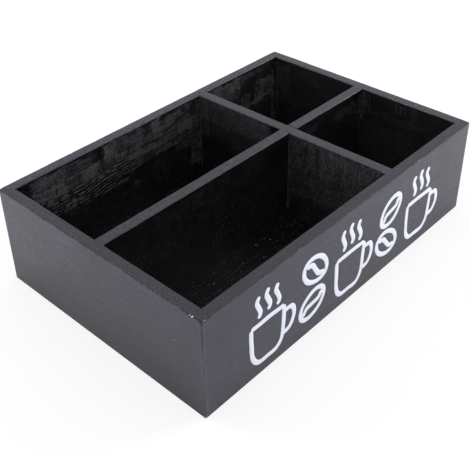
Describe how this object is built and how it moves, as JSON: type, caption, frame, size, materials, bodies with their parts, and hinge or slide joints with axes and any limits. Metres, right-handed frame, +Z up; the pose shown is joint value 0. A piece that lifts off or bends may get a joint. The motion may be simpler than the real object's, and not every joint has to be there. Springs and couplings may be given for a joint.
{
  "type": "coffee station organizer",
  "caption": "Open rectangular wooden tray with painted finish, divided into long bins on the left and small square bins on the right.",
  "frame": {"origin": "centre of the underside, on the surface that the box stands on", "axes": "+X along the length to the side with the small bins, +Y from the decorated front panel to the back panel, +Z up"},
  "size_m": [0.3, 0.2, 0.0805],
  "materials": {
    "outer_paint": "satin black paint brushed on wood",
    "inner_paint": "thin black paint brushed on wood, with glue and brush marks",
    "floor_paint": "black paint on plywood",
    "decoration_paint": "matt white acrylic paint",
    "brad_steel": "bright drawn wire",
    "filler": "painted wood filler"
  },
  "bodies": {
    "root": {"front_panel": "outer_paint", "back_panel": "outer_paint", "left_end_panel": "outer_paint", "right_end_panel": "outer_paint", "base_panel": "floor_paint", "cross_divider": "inner_paint", "long_divider": "inner_paint", "short_divider": "inner_paint", "front_left_corner_brads": "brad_steel", "front_right_corner_brads": "brad_steel", "back_left_corner_brads": "brad_steel", "back_right_corner_brads": "brad_steel", "front_divider_brads": "brad_steel", "back_divider_brads": "brad_steel", "left_divider_brads": "brad_steel", "right_divider_brads": "brad_steel", "crossing_brads": "brad_steel", "front_base_brads": "brad_steel", "back_base_brads": "brad_steel", "left_base_brads": "brad_steel", "right_base_brads": "brad_steel", "cross_divider_base_brads": "brad_steel", "long_divider_base_brads": "brad_steel", "short_divider_base_brads": "brad_steel", "front_filler": "filler", "back_filler": "filler", "left_filler": "filler", "right_filler": "filler"}
  },
  "joints": []
}
